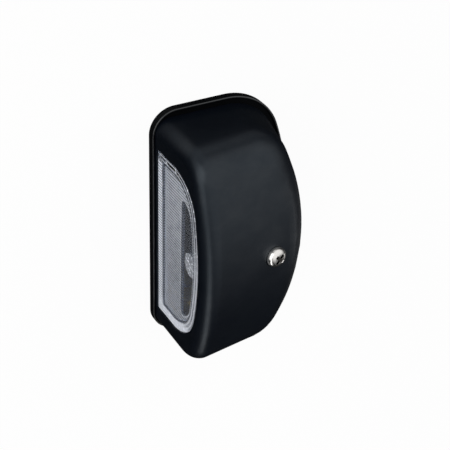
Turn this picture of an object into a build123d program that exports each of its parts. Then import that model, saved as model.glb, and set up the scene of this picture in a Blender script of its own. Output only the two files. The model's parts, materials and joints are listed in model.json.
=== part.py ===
from build123d import *
import math
import os

# Number plate lamp: a black arched hood with a clear window, held by one screw on a rimmed base plate.
# Millimetres. The lamp lies on its mounting face at z = 0, +Z points out of it.
# X runs along the lamp, the window faces -Y. The origin is the centre of the mounting face.

os.makedirs("parts", exist_ok=True)

# Base plate
base_length = 84.0
base_width = 49.9
base_front_corner = 8.4
base_back_corner = 20.3
base_bow = 83.4
flange_thickness = 1.6
rim_height = 2.6
rim_wall = 0.7
rim_round = 0.3
platform_top = 4.0
platform_corner = 1.0

# Hood
hood_front_gap = 0.25
hood_end_gap = 2.1
hood_back_gap = 1.15
hood_wall = 2.2
back_lean = 14.1
corner_ease = 0.55
crown_front = 37.4
crown_back = 28.7
crown_front_radius = 90.0
crown_back_radius = 190.0
top_round = 11.4
front_round = 4.9
inner_front_round = 0.8

# Window and lens
window_side = 8.65
window_crown = 6.1
window_sill = 2.0
window_radius = 87.0
window_corner = 15.3
lens_recess = 0.4
lens_border = 3.6
lens_step = 0.5
lens_plate = 2.0
lens_flange = 1.5
lens_flange_reach = 1.0
lens_flange_lift = 0.4
seal_thickness = 0.6
prism_pitch = 1.0
prism_depth = 0.6
prism_margin = 0.7
prism_height = 11.5
pad_radius = 4.4
pad_height = 0.2
pad_drop = 6.7

# Cover screw, its ring and its post
screw_y = 2.7
screw_length = 13.0
screw_radius = 1.75
head_radius = 3.5
head_height = 2.4
head_round = 1.5
recess_length = 4.0
recess_width = 0.9
recess_depth = 1.3
seat_depth = 0.15
washer_radius = 3.0
washer_thickness = 0.8
boss_radius = 5.0
boss_depth = 4.0
post_half_length = 4.5
post_before_screw = 6.9
post_behind_screw = 4.0
insert_radius = 2.8
insert_length = 7.0

# Bulb
bulb_behind_lens = 9.0
bulb_rise = 12.5
glass_radius = 5.25
glass_wall = 0.7
glass_half_length = 12.8
neck_radius = 3.1
neck_length = 1.6
shoulder_length = 2.4
cap_radius = 3.5
cap_overlap = 1.2
cap_length = 5.4
cap_cone = 1.7
cap_tip_radius = 1.0
lead_radius = 0.25
coil_radius = 0.55
coil_half_length = 5.0

# Contact strips, rivets and terminals
strip_thickness = 0.6
strip_width = 8.0
strip_seat = 0.6
strip_above_bulb = 4.5
strip_bend = 1.0
strip_top_round = 2.0
strip_past_terminal = 4.0
rivet_from_strip = 4.9
rivet_radius = 1.5
rivet_head_radius = 2.4
rivet_head_height = 0.6
rivet_depth = 2.0
terminal_from_strip = 11.4
terminal_size = 6.0
terminal_screw_radius = 1.25
terminal_head_radius = 2.2
terminal_head_height = 1.4
terminal_screw_depth = 4.0
terminal_slot_width = 0.6
terminal_slot_depth = 0.7
wire_hole_radius = 1.1
wire_hole_height = 2.0

# Mounting holes, gasket and cable inlet
mounting_from_end = 10.0
mounting_hole_radius = 2.25
gasket_inset = 3.2
gasket_thickness = 0.8
inlet_behind_post = 0.3
inlet_radius = 3.4
grommet_lip = 1.0
grommet_lip_height = 1.2
cable_hole_radius = 2.25

# Clearances, and how far a cut runs past the face it opens
fit_gap = 0.15
close_gap = 0.05
platform_gap = 0.25
lens_back_gap = 0.3
cut_over = 1.0

# Places that follow from the sizes above
hood_half_length = base_length / 2 - rim_wall - hood_end_gap
hood_front = -(base_width / 2 - rim_wall - hood_front_gap)
hood_back = base_width / 2 - rim_wall - hood_back_gap
hood_bow = base_bow - rim_wall - hood_back_gap
hood_corner = base_back_corner - rim_wall - hood_back_gap + corner_ease
wall_slope = math.tan(math.radians(back_lean))
crown_slope = (crown_front - crown_back) / (hood_back - hood_front)
crown_lean = math.atan(crown_slope)

window_half_length = hood_half_length - window_side
window_foot = flange_thickness + window_sill
window_top = crown_front - window_crown
window_plane = hood_front + lens_recess
wall_inside = hood_front + hood_wall
flange_front = wall_inside + seal_thickness
flange_back = flange_front + lens_flange
flange_foot = flange_thickness + lens_flange_lift
plate_front = window_plane + lens_step
plate_back = plate_front + lens_plate

seat_z = crown_front - crown_slope * (screw_y - hood_front)
screw_seat = Plane(
    origin=(0, screw_y, seat_z),
    x_dir=(1, 0, 0),
    z_dir=(0, math.sin(crown_lean), math.cos(crown_lean)),
)

bulb_y = plate_back + bulb_behind_lens
bulb_z = platform_top + bulb_rise
bulb_axis = Plane(origin=(0, bulb_y, bulb_z), x_dir=(0, 1, 0), z_dir=(1, 0, 0))
cap_start = glass_half_length - cap_overlap
cap_shoulder = cap_start + cap_length
cap_tip = cap_shoulder + cap_cone

strip_x = cap_shoulder + strip_seat
strip_face = platform_top + strip_thickness
rivet_x = strip_x + rivet_from_strip
terminal_x = strip_x + terminal_from_strip

mounting_x = base_length / 2 - mounting_from_end
inlet_y = screw_y + post_behind_screw + inlet_behind_post + inlet_radius + grommet_lip


def rod(radius, low, high):
    """Cylinder about the local Z axis between two heights."""
    return Pos(0, 0, low) * Cylinder(radius, high - low, align=(Align.CENTER, Align.CENTER, Align.MIN))


def slab(x_low, x_high, y_low, y_high, z_low, z_high):
    """Box between two corners."""
    size = Box(x_high - x_low, y_high - y_low, z_high - z_low)
    return Pos((x_low + x_high) / 2, (y_low + y_high) / 2, (z_low + z_high) / 2) * size


def turned(points):
    """Solid of revolution about the local Z axis, from points given as radius and height."""
    return revolve(Plane.XZ * make_face(Polyline(*points, close=True)), Axis.Z)


def pair(solid, x, y):
    """The same solid on both sides of the lamp."""
    return Compound([Pos(side * x, y) * solid for side in (-1, 1)])


def arched(half_length, low, top, radius, corner=0.0):
    """Flat outline with a straight foot, straight sides and an arched top with rounded shoulders."""
    spring = top - radius + math.sqrt(radius**2 - half_length**2)
    outline = Line((-half_length, low), (half_length, low))
    outline += Line((half_length, low), (half_length, spring))
    outline += ThreePointArc((half_length, spring), (0, top), (-half_length, spring))
    outline += Line((-half_length, spring), (-half_length, low))
    sheet = make_face(outline)
    if corner:
        sheet = fillet(sheet.vertices().group_by(Axis.Y)[-1], corner)
    return sheet


def base_outline(inset):
    """Outline of the base plate, with its bowed back, drawn in by an inset."""
    sheet = arched(
        base_length / 2 - inset,
        -base_width / 2 + inset,
        base_width / 2 - inset,
        base_bow - inset,
        base_back_corner - inset,
    )
    return fillet(sheet.vertices().group_by(Axis.Y)[0], base_front_corner - inset)


def hood_outline(inset, height):
    """Outline of the hood at a height, drawn in by an inset. The back wall leans in as it rises."""
    back_inset = inset + (height - flange_thickness) * wall_slope
    return arched(
        hood_half_length - inset,
        2 * hood_front,
        hood_back - back_inset,
        hood_bow - back_inset,
        hood_corner - back_inset,
    )


def upright(y, sheet):
    """Outline stood across the lamp at y."""
    return Plane(origin=(0, y, 0), x_dir=(1, 0, 0), z_dir=(0, -1, 0)) * sheet


def window(low, high, grow, foot=None):
    """Block with the window's outline, grown all round, between two planes across the lamp."""
    sheet = arched(
        window_half_length + grow,
        window_foot - grow if foot is None else foot,
        window_top + grow,
        window_radius + grow,
        window_corner + grow,
    )
    return extrude(upright(low, sheet), amount=high - low, dir=(0, 1, 0))


def hood_form(inset, foot, front_radius):
    """Form of the hood, drawn in by an inset: upright walls under an arched crown that falls to the back."""
    walls = loft([Pos(0, 0, z) * hood_outline(inset, z) for z in (foot, crown_front)], ruled=True)
    drop = inset / math.cos(crown_lean)
    arches = []
    for y, radius in ((hood_front + inset, crown_front_radius), (base_width / 2, crown_back_radius)):
        top = crown_front - crown_slope * (y - hood_front) - drop
        arches.append(upright(y, arched(base_length / 2, foot, top, radius - inset)))
    form = walls & loft(arches, ruled=True)
    crown = form.faces().sort_by(Axis.Z)[-1]
    form = fillet(crown.edges().group_by(Axis.Y)[1:], top_round - inset)
    face = form.faces().sort_by(Axis.Y)[0]
    return fillet(face.edges().group_by(Axis.Z)[1:], front_radius)


# Base plate: flange with a thin raised rim round its edge
base = extrude(base_outline(0), rim_height)
base -= Pos(0, 0, flange_thickness) * extrude(base_outline(rim_wall), rim_height)
base = fillet(base.faces().sort_by(Axis.Z)[-1].edges(), rim_round)

# Raised platform that the hood slips over
platform_front = flange_back + lens_back_gap
platform = hood_outline(hood_wall + platform_gap, platform_top)
platform -= Pos(0, platform_front - base_width) * Rectangle(2 * base_length, 2 * base_width)
platform = fillet(platform.vertices().group_by(Axis.Y)[0], platform_corner)
base += extrude(platform, platform_top)

# Post for the screw, cut off square to the screw where the hood's boss stands on it
post = slab(
    -post_half_length, post_half_length,
    screw_y - post_before_screw, screw_y + post_behind_screw,
    flange_thickness, crown_front,
)
post -= screw_seat * slab(-base_length, base_length, -base_width, base_width, -boss_depth, crown_front)
base += post
base -= screw_seat * rod(insert_radius + close_gap, -boss_depth - insert_length, -boss_depth + cut_over)
base -= screw_seat * rod(screw_radius + fit_gap, -screw_length - cut_over, -boss_depth)

# Pocket for the gasket, mounting holes, rivet holes and the cable inlet
base -= extrude(base_outline(gasket_inset - fit_gap), gasket_thickness)
base -= pair(rod(mounting_hole_radius, 0, platform_top), mounting_x, 0)
base -= pair(rod(rivet_radius + close_gap, platform_top - rivet_depth, platform_top), rivet_x, bulb_y)
base -= Pos(0, inlet_y) * rod(inlet_radius + close_gap, 0, platform_top)
base -= Pos(0, inlet_y) * rod(inlet_radius + grommet_lip + fit_gap, 0, gasket_thickness)
export_step(base, "parts/base_plate.step")

# Mounting gasket: flat pad let into the underside, flush with the mounting face
gasket = extrude(base_outline(gasket_inset), gasket_thickness)
gasket -= pair(rod(mounting_hole_radius, 0, gasket_thickness), mounting_x, 0)
gasket -= Pos(0, inlet_y) * rod(inlet_radius + grommet_lip + fit_gap, 0, gasket_thickness)
export_step(gasket, "parts/mounting_gasket.step")

# Hood: thin arched shell, open below, with the window and a boss for the screw
hood = hood_form(0, flange_thickness, front_round)
hood -= hood_form(hood_wall, flange_thickness - cut_over, inner_front_round)
hood += screw_seat * rod(boss_radius, -boss_depth, -hood_wall / 2)
hood -= window(hood_front - cut_over, wall_inside + cut_over, 0)
hood -= screw_seat * rod(head_radius + fit_gap, -seat_depth, head_height)
hood -= screw_seat * rod(washer_radius + close_gap, -seat_depth - washer_thickness, 0)
hood -= screw_seat * rod(screw_radius + fit_gap, -boss_depth - cut_over, 0)
export_step(hood, "parts/cover.step")

# Lens: clear pad in the window and a flange behind the wall, with a hollow on both sides of the plate
lens = window(window_plane, flange_front, -fit_gap)
lens += window(flange_front, flange_back, lens_flange_reach, flange_foot)
lens -= window(window_plane - cut_over, plate_front, -lens_border)
lens -= window(plate_back, flange_back + cut_over, -lens_border)

# Upright prisms on the inside of the lens, and a blank round pad above them on the outside
prism_half_length = window_half_length - lens_border - prism_margin
prism_foot = window_foot + lens_border
prism_count = round(2 * prism_half_length / prism_pitch)
prism_width = 2 * prism_half_length / prism_count
ridges = [(prism_half_length, plate_back - prism_depth), (-prism_half_length, plate_back - prism_depth)]
for number in range(prism_count):
    start = -prism_half_length + number * prism_width
    ridges.append((start, plate_back))
    ridges.append((start + prism_width / 2, plate_back + prism_depth))
ridges.append((prism_half_length, plate_back))
prisms = extrude(make_face(Polyline(*ridges, close=True)), prism_height, dir=(0, 0, 1))
lens += Pos(0, 0, prism_foot) * prisms
pad_plane = Plane(origin=(0, plate_front, window_top - pad_drop), x_dir=(1, 0, 0), z_dir=(0, -1, 0))
lens += pad_plane * rod(pad_radius, -lens_plate / 2, pad_height)
export_step(lens, "parts/lens.step")

# Lens seal: flat rubber frame between the lens flange and the wall of the hood
seal = window(wall_inside, flange_front, lens_flange_reach, flange_foot)
seal -= window(wall_inside - cut_over, flange_front + cut_over, 0)
export_step(seal, "parts/lens_seal.step")

# Cover screw with pan head and cross recess
head = fillet(rod(head_radius, -seat_depth, head_height).edges().sort_by(Axis.Z)[-1], head_round)
for turn in (0, 90):
    head -= Rot(0, 0, turn) * slab(
        -recess_length / 2, recess_length / 2,
        -recess_width / 2, recess_width / 2,
        head_height - recess_depth, head_height + cut_over,
    )
screw = head + rod(screw_radius, -screw_length, -seat_depth)
export_step(screw_seat * screw, "parts/cover_screw.step")

# Sealing ring under the head
ring = rod(washer_radius, -seat_depth - washer_thickness, -seat_depth)
ring -= rod(screw_radius + close_gap, -seat_depth - washer_thickness, -seat_depth)
export_step(screw_seat * ring, "parts/screw_washer.step")

# Threaded insert in the post
insert = rod(insert_radius, -boss_depth - insert_length, -boss_depth)
insert -= rod(screw_radius + close_gap, -boss_depth - insert_length, -boss_depth)
export_step(screw_seat * insert, "parts/pillar_insert.step")

# Bulb glass: tube with drawn-in ends
neck_start = glass_half_length - neck_length
shoulder_start = neck_start - shoulder_length
inner_neck = neck_radius - glass_wall
inner_radius = glass_radius - glass_wall
glass = turned([
    (0, -glass_half_length), (neck_radius, -glass_half_length), (neck_radius, -neck_start),
    (glass_radius, -shoulder_start), (glass_radius, shoulder_start),
    (neck_radius, neck_start), (neck_radius, glass_half_length), (0, glass_half_length),
])
glass -= turned([
    (0, -neck_start), (inner_neck, -neck_start), (inner_radius, -shoulder_start),
    (inner_radius, shoulder_start), (inner_neck, neck_start), (0, neck_start),
])
glass -= rod(lead_radius + close_gap, -glass_half_length, glass_half_length)
export_step(bulb_axis * glass, "parts/bulb_glass.step")

# Metal cap on each end of the bulb
cap = turned([
    (0, cap_start), (cap_radius, cap_start), (cap_radius, cap_shoulder),
    (cap_tip_radius, cap_tip), (0, cap_tip),
])
cap -= rod(neck_radius + close_gap, cap_start, glass_half_length)
export_step(bulb_axis * cap, "parts/bulb_cap_right.step")
export_step(bulb_axis * (Rot(180, 0, 0) * cap), "parts/bulb_cap_left.step")

# Coil on its leads inside the glass
filament = rod(lead_radius, -glass_half_length, glass_half_length)
filament += rod(coil_radius, -coil_half_length, coil_half_length)
export_step(bulb_axis * filament, "parts/bulb_filament.step")

# Contact strips: bent spring strips with a hole for the cap's cone
strip_low = bulb_y - strip_width / 2
strip_high = bulb_y + strip_width / 2
strip_end = terminal_x + strip_past_terminal
strip_top = bulb_z + strip_above_bulb
strip = slab(strip_x, strip_end, strip_low, strip_high, platform_top, strip_face)
strip += slab(strip_x, strip_x + strip_thickness, strip_low, strip_high, platform_top, strip_top)
bend = strip.edges().filter_by(Axis.Y).sort_by_distance((strip_x, bulb_y, platform_top))[0]
strip = fillet(bend, strip_bend)
strip = fillet(strip.edges().filter_by(Axis.X).group_by(Axis.Z)[-1], strip_top_round)
tip_hole = cap_tip_radius + (cap_radius - cap_tip_radius) * (cap_cone - strip_seat) / cap_cone
strip -= bulb_axis * rod(tip_hole + close_gap, strip_x, strip_x + strip_thickness)
strip -= Pos(rivet_x, bulb_y) * rod(rivet_radius + close_gap, platform_top, strip_face)
export_step(strip, "parts/contact_right.step")
export_step(mirror(strip, Plane.YZ), "parts/contact_left.step")

# Rivets that hold the strips down
rivet = rod(rivet_radius, platform_top - rivet_depth, strip_face)
rivet += rod(rivet_head_radius, strip_face, strip_face + rivet_head_height)
export_step(pair(rivet, rivet_x, bulb_y), "parts/contact_rivets.step")

# Terminal blocks on the strips, each with a wire hole and a slotted clamp screw
block_top = strip_face + terminal_size
half_block = terminal_size / 2
block = slab(-half_block, half_block, -half_block, half_block, strip_face, block_top)
wire_hole = Rot(90, 0, 0) * rod(wire_hole_radius, -half_block, half_block)
block -= Pos(0, 0, strip_face + wire_hole_height) * wire_hole
block -= rod(terminal_screw_radius + close_gap, block_top - terminal_screw_depth, block_top)
export_step(pair(block, terminal_x, bulb_y), "parts/terminal_blocks.step")

clamp = rod(terminal_screw_radius, block_top - terminal_screw_depth, block_top)
clamp += rod(terminal_head_radius, block_top, block_top + terminal_head_height)
clamp -= slab(
    -terminal_head_radius, terminal_head_radius,
    -terminal_slot_width / 2, terminal_slot_width / 2,
    block_top + terminal_head_height - terminal_slot_depth, block_top + terminal_head_height,
)
export_step(pair(clamp, terminal_x, bulb_y), "parts/terminal_screws.step")

# Cable grommet in the floor: sleeve with a lip above and below the plate
grommet_top = platform_top + grommet_lip_height
grommet = rod(inlet_radius, gasket_thickness, platform_top)
grommet += rod(inlet_radius + grommet_lip, platform_top, grommet_top)
grommet += rod(inlet_radius + grommet_lip, 0, gasket_thickness)
grommet -= rod(cable_hole_radius, 0, grommet_top)
export_step(Pos(0, inlet_y) * grommet, "parts/cable_grommet.step")
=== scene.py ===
import json
import math

import bpy
from mathutils import Matrix, Quaternion, Vector


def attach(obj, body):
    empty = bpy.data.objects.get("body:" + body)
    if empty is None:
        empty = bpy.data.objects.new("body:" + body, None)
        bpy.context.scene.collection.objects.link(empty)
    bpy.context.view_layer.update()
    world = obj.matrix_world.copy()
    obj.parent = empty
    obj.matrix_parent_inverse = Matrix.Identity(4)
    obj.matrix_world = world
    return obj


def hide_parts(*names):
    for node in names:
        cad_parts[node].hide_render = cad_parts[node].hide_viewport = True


# Number plate lamp lying on its mounting face, seen from above its window.
# Metres, in the part's own frame.

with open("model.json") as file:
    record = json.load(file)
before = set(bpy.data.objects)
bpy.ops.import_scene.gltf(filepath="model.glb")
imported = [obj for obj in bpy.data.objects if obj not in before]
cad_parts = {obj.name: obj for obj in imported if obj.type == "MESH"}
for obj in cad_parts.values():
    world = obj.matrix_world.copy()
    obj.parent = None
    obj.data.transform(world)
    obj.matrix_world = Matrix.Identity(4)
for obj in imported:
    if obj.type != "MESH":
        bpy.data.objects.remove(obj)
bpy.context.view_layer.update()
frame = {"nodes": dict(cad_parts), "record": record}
lamp = frame["nodes"]

MM = 0.001

# View of the lamp: where the picture's middle falls, and how the camera looks at it
picture_middle = Vector((-2.48, -4.56, 13.32)) * MM
view_azimuth = math.radians(-52.61)
view_elevation = math.radians(45.94)
view_roll = math.radians(135.35)
view_distance = 359.0 * MM
view_lens = 89.54
view_start = 10.0 * MM

# Cover screw: place of its seat on the crown, lean of the crown, sizes of head and shank
screw_seat = Vector((0.0, 2.7, 32.468)) * MM
crown_lean = math.radians(10.465)
head_radius = 3.5 * MM
head_height = 2.4 * MM
head_round = 2.0 * MM
head_sides = 72
head_round_steps = 10
shank_radius = 1.75 * MM
shank_length = 13.0 * MM
screw_crease = math.radians(35)

# Cross recess: size, share of length and width left at its bottom, and the turns of its two blades
recess_length = 6.2 * MM
recess_width = 1.35 * MM
recess_depth = 1.5 * MM
recess_taper = (0.3, 0.55, 1.0)
recess_turns = (math.radians(45), math.radians(135))

# Painted shade in the recess: it fades in below these shares of the head's height and within these
# distances
recess_shade = (0.97, 0.86)
recess_reach = (1.36 * head_height, 1.28 * head_height)

# Filament: middle of the bulb, coil and leads
bulb_middle = Vector((0.0, -12.1, 16.5)) * MM
coil_radius = 0.42 * MM
coil_length = 10.0 * MM
coil_turns = 26
coil_steps = 16
wire_radius = 0.11 * MM
wire_sides = 8
weld_reach = 0.001 * MM
lead_radius = 0.22 * MM
lead_end = 12.8 * MM
lead_sides = 16
filament_crease = math.radians(50)

# Lens outlines in millimetres: half length, foot, top, then the radius of the arch,
# of the shoulders and at the foot. The clear field sits a little to one side
lens_edge = (30.55, 3.6, 31.3, 87.0, 15.3, 0.05)
clear_edge = (22.2, 18.4, 26.6, 82.3, 7.0, 2.5)
clear_shift = 1.1

# Lens border, ribs, strip along the foot and round pad, in millimetres
lens_border = 3.6
border_pitch = 1.3
rib_pitch = 1.0096
rib_foot = 6.4
foot_ends = (27.2, 26.8)
pad_height = 25.2
pad_radius = 4.1
soft_edge = 0.15

# Where the lens changes along its length, in millimetres
ribs_dim = (-20.0, 12.0)
lines_widen = (-18.0, 4.0)
# A painted bright band of light covers the right end of the lens from this span on
end_painted_light_span = (23.5, 27.5)

# Rim of the base: its top, the floor of the groove inside it and the soft edge of the painted shade in
# the groove, in millimetres
rim_top = 2.6
groove_floor = 1.6
groove_outer = 0.15
groove_inner = 0.05

# Floor: size, tone, share that is plain white to the camera, and its painted dim brightness in
# reflections
floor_size = 6.0
floor_drop = 0.05 * MM
floor_tone = 0.92
floor_white = 0.94
floor_dim = 0.015

# Painted reflections: areas of the floor that glow bright for reflections only, in millimetres. The far
# side fades in along X and Y.
# The round spots have a middle, an outer and an inner radius. The last value is the brightness
far_side = ((-50.0, -100.0), (130.0, -20.0), 0.75)
end_spot = (-60.0, -34.0, 28.0, 4.0, 0.6)
rear_spot = (42.0, 78.0, 60.0, 10.0, 0.16)

# Dome of light: where its bright pole points, its darkest level, and the rise from dark to bright
dome_axis = (-0.47, 0.27, 0.84)
dome_dark = 0.02
dome_rise = ((0.12, 0.0), (0.32, 0.12), (0.50, 0.46), (0.72, 0.95), (1.0, 1.0))

# Softboxes: place, aim, width, depth, power and roll
softboxes = {
    "key": ((-0.42, -1.05, 0.56), (0, 0, 0.015), 1.6, 1.0, 8.0, 0.0),
    "edge": ((0.60, -0.46, 0.46), (0, 0, 0.02), 0.95, 0.28, 1.4, math.radians(-28)),
    "back": ((0.46, 0.87, 0.20), (0, 0, 0.03), 0.32, 0.28, 0.18, 0.0),
}


class Strand:
    """A value on its way through a finish. Arithmetic on strands adds Math nodes."""

    def __init__(self, finish, socket):
        self.finish = finish
        self.socket = socket

    def math(self, operation, first, second=0.0):
        return self.finish.add("ShaderNodeMath", {"operation": operation}, {0: first, 1: second})

    def __add__(self, other):
        return self.math("ADD", self, other)

    def __radd__(self, other):
        return self.math("ADD", other, self)

    def __sub__(self, other):
        return self.math("SUBTRACT", self, other)

    def __rsub__(self, other):
        return self.math("SUBTRACT", other, self)

    def __mul__(self, other):
        return self.math("MULTIPLY", self, other)

    def __rmul__(self, other):
        return self.math("MULTIPLY", other, self)

    def __truediv__(self, other):
        return self.math("DIVIDE", self, other)

    def __gt__(self, other):
        return self.math("GREATER_THAN", self, other)

    def __abs__(self):
        return self.math("ABSOLUTE", self)

    def least(self, other):
        return self.math("MINIMUM", self, other)

    def most(self, other):
        return self.math("MAXIMUM", self, other)

    def hypot(self, other):
        """Straight distance made of two at right angles."""
        return self.math("SQRT", self * self + other * other)

    def wave(self, pitch):
        """Runs from 1 down to 0 and back over each pitch."""
        return abs(self.math("FRACT", self / pitch) * 2.0 - 1.0)

    def step(self, low, high):
        """Rises softly from 0 at low to 1 at high."""
        return self.finish.add(
            "ShaderNodeMapRange",
            {"interpolation_type": "SMOOTHSTEP"},
            {"Value": self, "From Min": low, "From Max": high},
        )


class Finish:
    """A material, or the light of the world, built node by node."""

    def __init__(self, name, tree=None):
        self.material = None
        if tree is None:
            self.material = bpy.data.materials.new(name)
            self.material.use_nodes = True
            tree = self.material.node_tree
        self.tree = tree
        self.tree.nodes.clear()

    def add(self, kind, settings=None, inputs=None, output=0):
        """Adds a node, sets it up, fills its sockets with values or strands and gives one output."""
        node = self.tree.nodes.new(kind)
        for key, value in (settings or {}).items():
            if key == "stops":
                self.set_stops(node.color_ramp, value)
            else:
                setattr(node, key, value)
        for key, value in (inputs or {}).items():
            if isinstance(value, Strand):
                self.tree.links.new(value.socket, node.inputs[key])
            else:
                node.inputs[key].default_value = value
        return Strand(self, node.outputs[output]) if node.outputs else None

    def set_stops(self, ramp, stops):
        while len(ramp.elements) < len(stops):
            ramp.elements.new(1.0)
        for element, (place, level) in zip(ramp.elements, stops):
            element.position = place
            element.color = (level, level, level, 1.0)

    def place(self):
        """The point on the piece, in the part's frame."""
        return self.add("ShaderNodeTexCoord", output="Object")

    def millimetres(self, axis):
        """One coordinate of the point on the piece."""
        return self.add("ShaderNodeSeparateXYZ", None, {"Vector": self.place()}, output=axis) * 1000.0

    def noise(self, size, detail=2.0, roughness=0.5, stretch=(1.0, 1.0, 1.0)):
        """Noise with features of about the given size in metres."""
        scale = tuple(s / size for s in stretch)
        at = self.add("ShaderNodeMapping", None, {"Vector": self.place(), "Scale": scale})
        return self.add("ShaderNodeTexNoise", None, {
            "Vector": at, "Scale": 1.0, "Detail": detail, "Roughness": roughness,
        })

    def ramp(self, value, *stops):
        """Grey ramp through stops given as place and level."""
        return self.add("ShaderNodeValToRGB", {"stops": stops}, {"Fac": value})

    def blend(self, share, first, second):
        """Colour between two colours."""
        return self.add(
            "ShaderNodeMix", {"data_type": "RGBA"}, {0: share, 6: first, 7: second}, output=2
        )

    def bump(self, height, depth, strength):
        return self.add(
            "ShaderNodeBump", None, {"Height": height, "Distance": depth, "Strength": strength}
        )

    def surface(self, **inputs):
        """Principled surface. Socket names are written with underscores."""
        named = {key.replace("_", " "): value for key, value in inputs.items()}
        return self.add("ShaderNodeBsdfPrincipled", None, named)

    def mix(self, share, first, second):
        return self.add("ShaderNodeMixShader", None, {0: share, 1: first, 2: second})

    def light_path(self, kind):
        return self.add("ShaderNodeLightPath", output=kind)

    def done(self, shader, kind="ShaderNodeOutputMaterial"):
        self.add(kind, None, {"Surface": shader})
        return self.material


def colour(red, green, blue):
    return (red, green, blue, 1.0)


white = colour(1.0, 1.0, 1.0)


def hood_black():
    """Satin black moulding with a fine grain and a cool sheen."""
    finish = Finish("hood_black")
    grain = finish.noise(0.22 * MM, detail=3.0)
    drift = finish.noise(9.0 * MM)
    tone = finish.blend(drift, colour(0.0013, 0.0024, 0.0052), colour(0.0020, 0.0034, 0.0068))
    rough = 0.31 + drift * 0.06 + grain * 0.05
    smear = finish.noise(7.0 * MM, detail=5.0, roughness=0.6, stretch=(1.0, 0.6, 1.0)).step(0.35, 0.7)
    return finish.done(finish.surface(
        Base_Color=tone, Roughness=rough, Normal=finish.bump(grain, 0.02 * MM, 0.3), IOR=1.46,
        Specular_Tint=colour(0.76, 0.89, 1.0), Coat_Weight=smear * 0.18, Coat_Roughness=0.3,
    ))


def base_black():
    """Finely grained black of the base: polished on top of the rim, with painted shade in the groove
    inside it, where it is dull.
    """
    finish = Finish("base_black")
    grain = finish.noise(0.35 * MM, detail=3.0)
    height = finish.millimetres("Z")
    on_rim = height.step(rim_top - 0.4, rim_top - 0.1)
    over_floor = height.step(groove_floor - groove_outer, groove_floor - groove_inner)
    under_wall = height.step(groove_floor + groove_outer, groove_floor + groove_inner)
    # Painted shade in the groove between the rim and the hood, with soft edges
    groove_painted_shade = over_floor * under_wall
    tone = finish.blend(grain, colour(0.0012, 0.0013, 0.0017), colour(0.0034, 0.0036, 0.0042))
    plain = finish.surface(
        Base_Color=tone, Roughness=0.27 + grain * 0.14,
        Normal=finish.bump(grain, 0.03 * MM, 0.3), IOR=1.36,
        Specular_Tint=colour(0.84, 0.93, 1.0), Coat_Weight=on_rim, Coat_Roughness=0.12,
    )
    # Dull black without shine, mixed into the groove as painted shade
    dull = finish.surface(Base_Color=tone, Roughness=0.8, Specular_IOR_Level=0.0)
    return finish.done(finish.mix(groove_painted_shade * 0.9, plain, dull))


def rubber_black():
    """Dull black rubber."""
    finish = Finish("rubber_black")
    grain = finish.noise(0.4 * MM, detail=4.0)
    cloud = finish.noise(6.0 * MM)
    tone = finish.blend(cloud, colour(0.012, 0.012, 0.0125), colour(0.022, 0.0215, 0.021))
    return finish.done(finish.surface(
        Base_Color=tone, Roughness=0.62 + grain * 0.2, Normal=finish.bump(grain, 0.04 * MM, 0.35),
    ))


def rounded(first, second, radius):
    """Depth inside two edges at once, with the corner between them rounded."""
    short = (radius - first).most(0.0)
    shy = (radius - second).most(0.0)
    return first.least(second).most(radius) - short.hypot(shy)


def depth_inside(across, height, outline):
    """How far a point lies inside an arched outline, in millimetres."""
    half, foot, top, radius, corner, foot_round = outline
    corner_across = half - corner
    corner_height = top - radius + math.sqrt((radius - corner) ** 2 - corner_across**2)
    side = half - across
    crown = radius - across.hypot(height - (top - radius))
    past = across - corner_across
    over = height - corner_height
    shoulder = corner - past.hypot(over)
    edge = side.least(crown)
    in_shoulder = (past > 0.0) * (over > 0.0)
    edge = edge + in_shoulder * (shoulder - edge)
    return rounded(edge, height - foot, foot_round)


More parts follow.
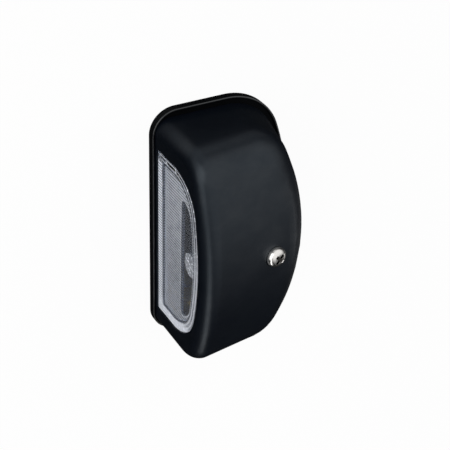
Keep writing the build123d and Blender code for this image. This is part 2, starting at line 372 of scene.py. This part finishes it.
def lens_clear():
    """Clear plastic: finely ribbed and so milky below, smooth in a clear field under the arch. Painted
    light: glints, a bright band at the right end, and shade along the border's step and at its left
    end.
    """
    finish = Finish("lens_clear")
    along = finish.millimetres("X")
    height = finish.millimetres("Z")
    across = abs(along)
    edge = depth_inside(across, height, lens_edge)
    field = depth_inside(abs(along - clear_shift), height, clear_edge)

    cloud = finish.noise(2.2 * MM, detail=3.0, roughness=0.6)
    speckle = finish.noise(0.5 * MM)
    # Painted glints: bright specks of light on the border and the right end; the pad's mottling uses
    # them too
    glints = finish.noise(1.1 * MM, detail=1.0).step(0.58, 0.72)
    ribs = along.wave(rib_pitch)
    lines = edge.wave(border_pitch)

    # How milky each field of the lens is. Some fields hold painted light: glints, a bright band at the
    # right end, and painted shade on the border's left end and along its step
    ribbed = (ribs * 0.34 + cloud * 0.20 + speckle * 0.12) * (1.15 - 0.27 * along.step(*ribs_dim))
    foot_strip = 0.38 + ribs.step(0.25, 0.75) * 0.62
    # On the left end the border is dark, painted shade of its step, with thin light lines and painted
    # glints
    thin_lines = 0.03 + lines.step(0.50, 1.0) * 0.70 + glints * 0.60
    wide_lines = 0.08 + lines * 0.48 + cloud * 0.16
    border = thin_lines + along.step(*lines_widen) * (wide_lines - thin_lines)
    clear_field = 0.03 + cloud * 0.05
    # Painted light: the right end is a bright band
    right_end_painted_light = 0.72 + cloud * 0.24 + glints * 0.2
    pad = 0.10 + cloud * 0.40 + glints * 0.80

    # Where each field lies
    in_plate = edge.step(lens_border - soft_edge, lens_border + soft_edge)
    in_foot = height.step(rib_foot + soft_edge, rib_foot - soft_edge) * across.step(*foot_ends)
    in_field = field.step(-0.2, 0.25)
    # Where the painted bright band of the right end lies, outside the plate
    at_right_painted_light = along.step(*end_painted_light_span) * (1.0 - in_plate)
    # Painted shade along the step between the border and the ribbed plate, above the foot strip
    step_painted_shade = abs(edge - lens_border).step(0.5, 0.15) * height.step(rib_foot - 0.5, rib_foot + 0.5)
    rim = abs(field).step(0.45, 0.1)
    from_pad = along.hypot(height - pad_height)
    on_pad = from_pad.step(pad_radius + 0.1, pad_radius - soft_edge) * in_plate

    share = border + in_plate * (ribbed - border)
    share = share + in_field * (clear_field - share)
    share = share + rim * 0.16
    share = share + on_pad * (pad - share)
    share = share + in_foot * (foot_strip - share)
    share = share + at_right_painted_light * (right_end_painted_light - share)
    share = share * (1.0 - step_painted_shade * 0.75)

    tone = finish.blend(cloud, colour(0.75, 0.79, 0.88), colour(0.90, 0.93, 0.99))
    milky = finish.surface(
        Base_Color=tone, Roughness=0.28 + speckle * 0.12,
        Normal=finish.bump(ribs, 0.12 * MM, 0.5), IOR=1.49,
    )
    clear = finish.surface(
        Base_Color=colour(0.79, 0.86, 1.0), Roughness=0.06 + cloud * 0.06, IOR=1.49,
        Transmission_Weight=1.0,
    )
    return finish.done(finish.mix(share, clear, milky))


def metal(name, tint, dark, rough, streak):
    """Plated or rolled metal, with small changes of tone and fine marks."""
    finish = Finish(name)
    cloud = finish.noise(2.5 * MM, detail=3.0)
    marks = finish.noise(streak, detail=3.0, stretch=(1.0, 0.12, 1.0))
    tone = finish.blend(cloud, colour(*dark), colour(*tint))
    return finish.done(finish.surface(
        Base_Color=tone, Metallic=1.0, Roughness=rough + marks * 0.14,
        Normal=finish.bump(marks, 0.01 * MM, 0.15),
    ))


def screw_bright():
    """Bright plate on the screw, with painted shade down in its recess."""
    finish = Finish("screw_bright")
    cloud = finish.noise(2.5 * MM, detail=3.0)
    seat = finish.add(
        "ShaderNodeMapping", {"vector_type": "TEXTURE"},
        {"Vector": finish.place(), "Location": screw_seat, "Rotation": (-crown_lean, 0, 0)},
    )
    level = finish.add("ShaderNodeSeparateXYZ", None, {"Vector": seat}, output="Z") / head_height
    plate = finish.blend(cloud, colour(0.72, 0.70, 0.68), colour(0.90, 0.88, 0.85))
    reach = finish.add("ShaderNodeVectorMath", {"operation": "LENGTH"}, {0: seat}, output="Value")
    # Painted shade: dark down in the cross recess
    recess_painted_shade = level.step(*recess_shade) * reach.step(*recess_reach)
    return finish.done(finish.surface(
        Base_Color=finish.blend(recess_painted_shade, plate, colour(0.02, 0.018, 0.017)), Metallic=1.0,
        Roughness=0.14 + cloud * 0.1,
    ))


def bulb_clear():
    """Thin clear bulb glass."""
    finish = Finish("bulb_clear")
    haze = finish.noise(3.0 * MM)
    return finish.done(finish.surface(
        Base_Color=colour(0.97, 0.98, 0.99), Roughness=0.02 + haze * 0.03, IOR=1.47,
        Transmission_Weight=1.0,
    ))


finishes = {
    "hood_black": hood_black(),
    "base_black": base_black(),
    "rubber_black": rubber_black(),
    "lens_clear": lens_clear(),
    "screw_bright": screw_bright(),
    "contact_brass": metal("contact_brass", (0.80, 0.60, 0.28), (0.62, 0.44, 0.19), 0.22, 0.6 * MM),
    "cap_nickel": metal("cap_nickel", (0.70, 0.68, 0.65), (0.52, 0.51, 0.49), 0.24, 0.5 * MM),
    "bulb_clear": bulb_clear(),
    "filament_wire": metal("filament_wire", (0.34, 0.33, 0.32), (0.22, 0.21, 0.21), 0.4, 0.3 * MM),
}

for subpart in frame["record"]["subparts"]:
    piece = lamp[subpart["node"]]
    piece.data.materials.clear()
    piece.data.materials.append(finishes[subpart["material_slot"]])


def take(piece, *others):
    """Selects a piece, and any others with it, and makes it the active one."""
    bpy.ops.object.select_all(action="DESELECT")
    for chosen in (piece, *others):
        chosen.select_set(True)
    bpy.context.view_layer.objects.active = piece


def pick(piece, test):
    """Goes into edit mode with the faces selected whose middle passes a test."""
    bpy.ops.object.mode_set(mode="EDIT")
    bpy.ops.mesh.select_mode(type="FACE")
    bpy.ops.mesh.select_all(action="DESELECT")
    bpy.ops.object.mode_set(mode="OBJECT")
    for face in piece.data.polygons:
        face.select = test(face.center)
    bpy.ops.object.mode_set(mode="EDIT")


def settle(piece, place, turn):
    """Puts a piece in its place, with the place kept in its mesh."""
    take(piece)
    piece.location = place
    piece.rotation_euler = turn
    bpy.ops.object.transform_apply(location=True, rotation=True, scale=True)


def hand_over(piece, node, slot):
    """Lets a modelled piece stand for a node of the part."""
    piece.data.materials.clear()
    piece.data.materials.append(finishes[slot])
    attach(piece, "root")
    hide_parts(node)


def recess_cutter(turn):
    """Tapered blade that cuts one arm pair of the cross recess."""
    bpy.ops.object.select_all(action="DESELECT")
    bpy.ops.mesh.primitive_cube_add(size=1.0)
    blade = bpy.context.object
    blade.scale = (recess_length, recess_width, 2.0 * recess_depth)
    bpy.ops.object.transform_apply(location=False, rotation=False, scale=True)
    pick(blade, lambda middle: middle.z < -0.9 * recess_depth)
    bpy.ops.transform.resize(value=recess_taper)
    bpy.ops.object.mode_set(mode="OBJECT")
    settle(blade, (0, 0, head_height), (0, 0, turn))
    return blade


def cover_screw():
    """Pan head screw with a tapered cross recess."""
    bpy.ops.object.select_all(action="DESELECT")
    bpy.ops.mesh.primitive_cylinder_add(
        vertices=head_sides, radius=head_radius, depth=head_height, location=(0, 0, head_height / 2)
    )
    screw = bpy.context.object
    screw.name = "screw"
    bpy.ops.object.transform_apply(location=True, rotation=True, scale=True)
    pick(screw, lambda middle: middle.z > 0.99 * head_height)
    bpy.ops.mesh.bevel(offset=head_round, segments=head_round_steps, profile=0.5, affect="EDGES")
    pick(screw, lambda middle: middle.z < 0.01 * head_height)
    bpy.ops.mesh.inset(thickness=head_radius - shank_radius)
    bpy.ops.mesh.extrude_region_move(TRANSFORM_OT_translate={"value": (0, 0, -shank_length)})
    bpy.ops.object.mode_set(mode="OBJECT")
    for turn in recess_turns:
        blade = recess_cutter(turn)
        take(screw)
        bpy.ops.object.modifier_add(type="BOOLEAN")
        cut = screw.modifiers[-1]
        cut.operation = "DIFFERENCE"
        cut.solver = "EXACT"
        cut.object = blade
        bpy.ops.object.modifier_apply(modifier=cut.name)
        bpy.data.objects.remove(blade)
    settle(screw, screw_seat, (-crown_lean, 0, 0))
    bpy.ops.object.shade_smooth_by_angle(angle=screw_crease)
    hand_over(screw, "cover_screw", "screw_bright")


def bulb_filament():
    """Coiled wire on its two leads."""
    bpy.ops.object.select_all(action="DESELECT")
    bpy.ops.mesh.primitive_circle_add(
        vertices=wire_sides, radius=wire_radius, location=(coil_radius, 0, -coil_length / 2),
        rotation=(math.radians(90), 0, 0),
    )
    coil = bpy.context.object
    coil.name = "filament"
    bpy.ops.object.transform_apply(location=True, rotation=True, scale=True)
    bpy.ops.object.modifier_add(type="SCREW")
    turning = coil.modifiers[-1]
    turning.axis = "Z"
    turning.angle = math.radians(360)
    turning.screw_offset = coil_length / coil_turns
    turning.iterations = coil_turns
    turning.steps = coil_steps
    turning.render_steps = coil_steps
    bpy.ops.object.modifier_apply(modifier=turning.name)
    bpy.ops.object.mode_set(mode="EDIT")
    bpy.ops.mesh.select_all(action="SELECT")
    bpy.ops.mesh.remove_doubles(threshold=weld_reach)
    bpy.ops.mesh.fill_holes(sides=0)
    bpy.ops.object.mode_set(mode="OBJECT")
    leads = []
    lead_length = lead_end - coil_length / 2
    for way in (-1, 1):
        bpy.ops.mesh.primitive_cylinder_add(
            vertices=lead_sides, radius=lead_radius, depth=lead_length,
            location=(0, 0, way * (lead_end - lead_length / 2)),
        )
        leads.append(bpy.context.object)
    take(coil, *leads)
    bpy.ops.object.join()
    bpy.ops.object.mode_set(mode="EDIT")
    bpy.ops.mesh.select_all(action="SELECT")
    bpy.ops.mesh.normals_make_consistent(inside=False)
    bpy.ops.object.mode_set(mode="OBJECT")
    settle(coil, bulb_middle, (0, math.radians(90), 0))
    bpy.ops.object.shade_smooth_by_angle(angle=filament_crease)
    hand_over(coil, "bulb_filament", "filament_wire")


cover_screw()
bulb_filament()


def round_spot(along, aside, spot):
    """Soft round area of the floor that glows in reflections as a painted reflection."""
    middle_along, middle_aside, outer, inner, brightness = spot
    return (along - middle_along).hypot(aside - middle_aside).step(outer, inner) * brightness


def studio_floor():
    """White floor with a weak shadow. In reflections it is painted dark, with three soft areas that
    glow bright for reflections only.
    """
    bpy.ops.object.select_all(action="DESELECT")
    bpy.ops.mesh.primitive_plane_add(size=floor_size, location=(0, 0, -floor_drop))
    floor = bpy.context.object
    floor.name = "floor"
    finish = Finish("floor_white")
    seen = finish.light_path("Is Camera Ray").most(finish.light_path("Is Transmission Ray"))
    paper = finish.surface(
        Base_Color=colour(floor_tone, floor_tone, floor_tone), Roughness=0.9, Specular_IOR_Level=0.0,
    )
    bright = finish.add("ShaderNodeEmission", None, {"Color": white, "Strength": 1.0})
    dim = finish.add("ShaderNodeEmission", None, {"Color": white, "Strength": floor_dim})
    along = finish.millimetres("X")
    aside = finish.millimetres("Y")
    far_along, far_aside, far_brightness = far_side
    far = along.step(*far_along) * aside.step(*far_aside) * far_brightness
    # Painted reflections: the floor glows in these areas for glossy rays only
    sheen = far.most(round_spot(along, aside, end_spot)).most(round_spot(along, aside, rear_spot))
    shader = finish.mix(seen * floor_white, paper, bright)
    shader = finish.mix(finish.light_path("Is Glossy Ray"), shader, finish.mix(sheen, dim, bright))
    floor.data.materials.append(finish.done(shader))


def softbox(name, place, aim, width, depth, power, roll):
    """Rectangular lamp that points at a spot, rolled about the way it points."""
    light = bpy.data.lights.new(name, "AREA")
    light.shape = "RECTANGLE"
    light.size = width
    light.size_y = depth
    light.energy = power
    holder = bpy.data.objects.new(name, light)
    bpy.context.scene.collection.objects.link(holder)
    holder.location = Vector(place)
    turn = (Vector(aim) - Vector(place)).to_track_quat("-Z", "Y")
    holder.rotation_euler = (turn @ Quaternion((0, 0, 1), roll)).to_euler()


def studio_world():
    """Dome of soft light, bright round its tilted pole and dark away from it. The camera sees white."""
    world = bpy.data.worlds.new("studio")
    bpy.context.scene.world = world
    world.use_nodes = True
    finish = Finish("studio", world.node_tree)
    way = finish.add("ShaderNodeTexCoord", output="Generated")
    rise = finish.add(
        "ShaderNodeVectorMath", {"operation": "DOT_PRODUCT"}, {0: way, 1: dome_axis}, output="Value"
    )
    level = finish.ramp(rise, *dome_rise)
    dark = finish.add("ShaderNodeBackground", None, {"Color": white, "Strength": dome_dark})
    light = finish.add("ShaderNodeBackground", None, {"Color": white, "Strength": 1.0})
    dome = finish.mix(level, dark, light)
    shader = finish.mix(finish.light_path("Is Camera Ray"), dome, light)
    finish.done(shader, "ShaderNodeOutputWorld")


def camera():
    """Camera at the photograph's angle, with its roll."""
    level = math.cos(view_elevation)
    back = Vector((
        math.sin(view_azimuth) * level, -math.cos(view_azimuth) * level, math.sin(view_elevation),
    ))
    side = Vector((0, 0, 1)).cross(back).normalized()
    over = back.cross(side)
    right = side * math.cos(view_roll) + over * math.sin(view_roll)
    up = back.cross(right)
    eye = bpy.data.objects.new("camera", bpy.data.cameras.new("camera"))
    bpy.context.scene.collection.objects.link(eye)
    eye.data.lens = view_lens
    eye.data.clip_start = view_start
    eye.matrix_world = Matrix.Translation(picture_middle + back * view_distance) @ Matrix(
        (right, up, back)
    ).transposed().to_4x4()
    bpy.context.scene.camera = eye


studio_floor()
studio_world()
for name, setting in softboxes.items():
    softbox(name, *setting)
camera()

bpy.context.scene.view_settings.view_transform = "Standard"
